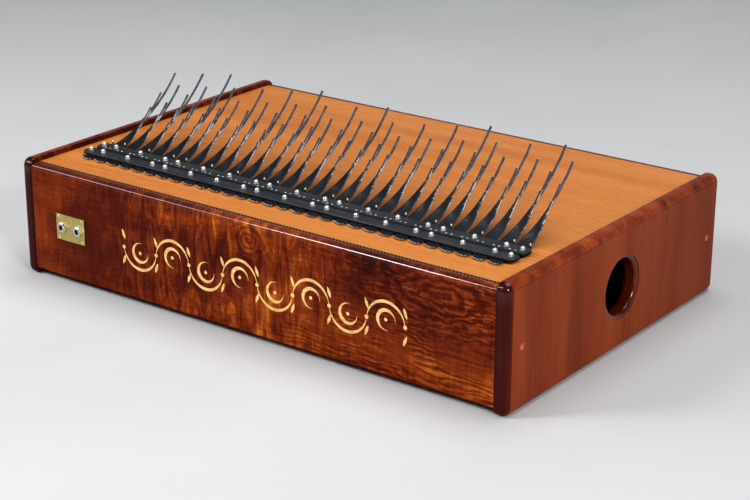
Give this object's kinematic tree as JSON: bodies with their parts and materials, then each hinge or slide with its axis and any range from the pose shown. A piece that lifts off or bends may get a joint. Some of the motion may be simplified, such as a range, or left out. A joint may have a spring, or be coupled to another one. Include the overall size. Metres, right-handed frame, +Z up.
{
  "type": "board mbira",
  "caption": "Tabletop chromatic mbira: a shallow wooden box with moulded end cheeks and groups of upturned spring-steel tines clamped across its soundboard.",
  "frame": {"origin": "middle of the footprint, on the surface the cheeks stand on", "axes": "+X along the box towards the treble end with the front panel facing -Y, +Y from the front panel to the back, +Z up"},
  "size_m": [0.664, 0.4374, 0.2116],
  "materials": {
    "cheek_mahogany": "gloss lacquer",
    "front_walnut": "gloss lacquer",
    "cedar_top": "satin lacquer",
    "bottom_ply": "plain",
    "rope_purfling": "satin lacquer",
    "maple_inlay": "gloss lacquer",
    "frame_spruce": "plain",
    "bridge_maple": "plain",
    "black_steel": "satin",
    "bare_steel": "satin",
    "spring_steel": "blued",
    "bolt_steel": "polished",
    "pin_brass": "satin",
    "plate_brass": "brushed",
    "jack_body": "gloss",
    "jack_nickel": "polished",
    "lead_sheath": "matte",
    "screw_copper": "satin"
  },
  "bodies": {
    "box": {"left_cheek": "cheek_mahogany", "right_cheek": "cheek_mahogany", "front_panel": "front_walnut", "rear_panel": "front_walnut", "soundboard": "cedar_top", "bottom_board": "bottom_ply", "purfling_strip": "rope_purfling", "inlay_flourish": "maple_inlay", "panel_linings": "frame_spruce", "corner_blocks": "frame_spruce", "soundboard_braces": "frame_spruce", "bridge_plate": "bridge_maple", "tine_bed": "black_steel", "saddle_rods": "bare_steel", "tine_tails": "spring_steel", "front_clamp_bar": "black_steel", "rear_clamp_bar": "black_steel", "clamp_bar_bolts": "bolt_steel", "clamp_bar_nuts": "bolt_steel", "bar_set_screws": "bolt_steel", "guide_pins": "pin_brass", "jack_plate": "plate_brass", "jack_plate_screws": "plate_brass", "output_jack_left": "jack_body", "output_jack_right": "jack_body", "jack_nuts": "jack_nickel", "contact_pickups": "plate_brass", "pickup_leads": "lead_sheath", "cheek_screws": "screw_copper"},
    "tines_01": {"tine_group_01": "spring_steel"},
    "tines_02": {"tine_group_02": "spring_steel"},
    "tines_03": {"tine_group_03": "spring_steel"},
    "tines_04": {"tine_group_04": "spring_steel"},
    "tines_05": {"tine_group_05": "spring_steel"},
    "tines_06": {"tine_group_06": "spring_steel"},
    "tines_07": {"tine_group_07": "spring_steel"},
    "tines_08": {"tine_group_08": "spring_steel"},
    "tines_09": {"tine_group_09": "spring_steel"},
    "tines_10": {"tine_group_10": "spring_steel"},
    "tines_11": {"tine_group_11": "spring_steel"},
    "tines_12": {"tine_group_12": "spring_steel"},
    "tines_13": {"tine_group_13": "spring_steel"},
    "tines_14": {"tine_group_14": "spring_steel"},
    "tines_15": {"tine_group_15": "spring_steel"},
    "tines_16": {"tine_group_16": "spring_steel"},
    "tines_17": {"tine_group_17": "spring_steel"},
    "tines_18": {"tine_group_18": "spring_steel"},
    "tines_19": {"tine_group_19": "spring_steel"},
    "tines_20": {"tine_group_20": "spring_steel"},
    "tines_21": {"tine_group_21": "spring_steel"},
    "tines_22": {"tine_group_22": "spring_steel"},
    "tines_23": {"tine_group_23": "spring_steel"},
    "tines_24": {"tine_group_24": "spring_steel"},
    "tines_25": {"tine_group_25": "spring_steel"},
    "tines_26": {"tine_group_26": "spring_steel"},
    "tines_27": {"tine_group_27": "spring_steel"},
    "tines_28": {"tine_group_28": "spring_steel"},
    "tines_29": {"tine_group_29": "spring_steel"},
    "tines_30": {"tine_group_30": "spring_steel"}
  },
  "joints": [
    {"name": "flex_01", "type": "hinge", "parent": "box", "child": "tines_01", "pos_m": [-0.2784, -0.115, 0.1365], "axis": [1, 0, 0], "range_deg": [-3, 3], "stiffness_Nm_per_rad": 2},
    {"name": "flex_02", "type": "hinge", "parent": "box", "child": "tines_02", "pos_m": [-0.2592, -0.115, 0.1365], "axis": [1, 0, 0], "range_deg": [-3, 3], "stiffness_Nm_per_rad": 2},
    {"name": "flex_03", "type": "hinge", "parent": "box", "child": "tines_03", "pos_m": [-0.24, -0.115, 0.1365], "axis": [1, 0, 0], "range_deg": [-3, 3], "stiffness_Nm_per_rad": 2},
    {"name": "flex_04", "type": "hinge", "parent": "box", "child": "tines_04", "pos_m": [-0.2208, -0.115, 0.1365], "axis": [1, 0, 0], "range_deg": [-3, 3], "stiffness_Nm_per_rad": 2},
    {"name": "flex_05", "type": "hinge", "parent": "box", "child": "tines_05", "pos_m": [-0.2016, -0.115, 0.1365], "axis": [1, 0, 0], "range_deg": [-3, 3], "stiffness_Nm_per_rad": 2},
    {"name": "flex_06", "type": "hinge", "parent": "box", "child": "tines_06", "pos_m": [-0.1824, -0.115, 0.1365], "axis": [1, 0, 0], "range_deg": [-3, 3], "stiffness_Nm_per_rad": 2},
    {"name": "flex_07", "type": "hinge", "parent": "box", "child": "tines_07", "pos_m": [-0.1632, -0.115, 0.1365], "axis": [1, 0, 0], "range_deg": [-3, 3], "stiffness_Nm_per_rad": 2},
    {"name": "flex_08", "type": "hinge", "parent": "box", "child": "tines_08", "pos_m": [-0.144, -0.115, 0.1365], "axis": [1, 0, 0], "range_deg": [-3, 3], "stiffness_Nm_per_rad": 2},
    {"name": "flex_09", "type": "hinge", "parent": "box", "child": "tines_09", "pos_m": [-0.1248, -0.115, 0.1365], "axis": [1, 0, 0], "range_deg": [-3, 3], "stiffness_Nm_per_rad": 2},
    {"name": "flex_10", "type": "hinge", "parent": "box", "child": "tines_10", "pos_m": [-0.1056, -0.115, 0.1365], "axis": [1, 0, 0], "range_deg": [-3, 3], "stiffness_Nm_per_rad": 2},
    {"name": "flex_11", "type": "hinge", "parent": "box", "child": "tines_11", "pos_m": [-0.0864, -0.115, 0.1365], "axis": [1, 0, 0], "range_deg": [-3, 3], "stiffness_Nm_per_rad": 2},
    {"name": "flex_12", "type": "hinge", "parent": "box", "child": "tines_12", "pos_m": [-0.0672, -0.115, 0.1365], "axis": [1, 0, 0], "range_deg": [-3, 3], "stiffness_Nm_per_rad": 2},
    {"name": "flex_13", "type": "hinge", "parent": "box", "child": "tines_13", "pos_m": [-0.048, -0.115, 0.1365], "axis": [1, 0, 0], "range_deg": [-3, 3], "stiffness_Nm_per_rad": 2},
    {"name": "flex_14", "type": "hinge", "parent": "box", "child": "tines_14", "pos_m": [-0.0288, -0.115, 0.1365], "axis": [1, 0, 0], "range_deg": [-3, 3], "stiffness_Nm_per_rad": 2},
    {"name": "flex_15", "type": "hinge", "parent": "box", "child": "tines_15", "pos_m": [-0.0096, -0.115, 0.1365], "axis": [1, 0, 0], "range_deg": [-3, 3], "stiffness_Nm_per_rad": 2},
    {"name": "flex_16", "type": "hinge", "parent": "box", "child": "tines_16", "pos_m": [0.0096, -0.115, 0.1365], "axis": [1, 0, 0], "range_deg": [-3, 3], "stiffness_Nm_per_rad": 2},
    {"name": "flex_17", "type": "hinge", "parent": "box", "child": "tines_17", "pos_m": [0.0288, -0.115, 0.1365], "axis": [1, 0, 0], "range_deg": [-3, 3], "stiffness_Nm_per_rad": 2},
    {"name": "flex_18", "type": "hinge", "parent": "box", "child": "tines_18", "pos_m": [0.048, -0.115, 0.1365], "axis": [1, 0, 0], "range_deg": [-3, 3], "stiffness_Nm_per_rad": 2},
    {"name": "flex_19", "type": "hinge", "parent": "box", "child": "tines_19", "pos_m": [0.0672, -0.115, 0.1365], "axis": [1, 0, 0], "range_deg": [-3, 3], "stiffness_Nm_per_rad": 2},
    {"name": "flex_20", "type": "hinge", "parent": "box", "child": "tines_20", "pos_m": [0.0864, -0.115, 0.1365], "axis": [1, 0, 0], "range_deg": [-3, 3], "stiffness_Nm_per_rad": 2},
    {"name": "flex_21", "type": "hinge", "parent": "box", "child": "tines_21", "pos_m": [0.1056, -0.115, 0.1365], "axis": [1, 0, 0], "range_deg": [-3, 3], "stiffness_Nm_per_rad": 2},
    {"name": "flex_22", "type": "hinge", "parent": "box", "child": "tines_22", "pos_m": [0.1248, -0.115, 0.1365], "axis": [1, 0, 0], "range_deg": [-3, 3], "stiffness_Nm_per_rad": 2},
    {"name": "flex_23", "type": "hinge", "parent": "box", "child": "tines_23", "pos_m": [0.144, -0.115, 0.1365], "axis": [1, 0, 0], "range_deg": [-3, 3], "stiffness_Nm_per_rad": 2},
    {"name": "flex_24", "type": "hinge", "parent": "box", "child": "tines_24", "pos_m": [0.1632, -0.115, 0.1365], "axis": [1, 0, 0], "range_deg": [-3, 3], "stiffness_Nm_per_rad": 2},
    {"name": "flex_25", "type": "hinge", "parent": "box", "child": "tines_25", "pos_m": [0.1824, -0.115, 0.1365], "axis": [1, 0, 0], "range_deg": [-3, 3], "stiffness_Nm_per_rad": 2},
    {"name": "flex_26", "type": "hinge", "parent": "box", "child": "tines_26", "pos_m": [0.2016, -0.115, 0.1365], "axis": [1, 0, 0], "range_deg": [-3, 3], "stiffness_Nm_per_rad": 2},
    {"name": "flex_27", "type": "hinge", "parent": "box", "child": "tines_27", "pos_m": [0.2208, -0.115, 0.1365], "axis": [1, 0, 0], "range_deg": [-3, 3], "stiffness_Nm_per_rad": 2},
    {"name": "flex_28", "type": "hinge", "parent": "box", "child": "tines_28", "pos_m": [0.24, -0.115, 0.1365], "axis": [1, 0, 0], "range_deg": [-3, 3], "stiffness_Nm_per_rad": 2},
    {"name": "flex_29", "type": "hinge", "parent": "box", "child": "tines_29", "pos_m": [0.2592, -0.115, 0.1365], "axis": [1, 0, 0], "range_deg": [-3, 3], "stiffness_Nm_per_rad": 2},
    {"name": "flex_30", "type": "hinge", "parent": "box", "child": "tines_30", "pos_m": [0.2784, -0.115, 0.1365], "axis": [1, 0, 0], "range_deg": [-3, 3], "stiffness_Nm_per_rad": 2}
  ]
}
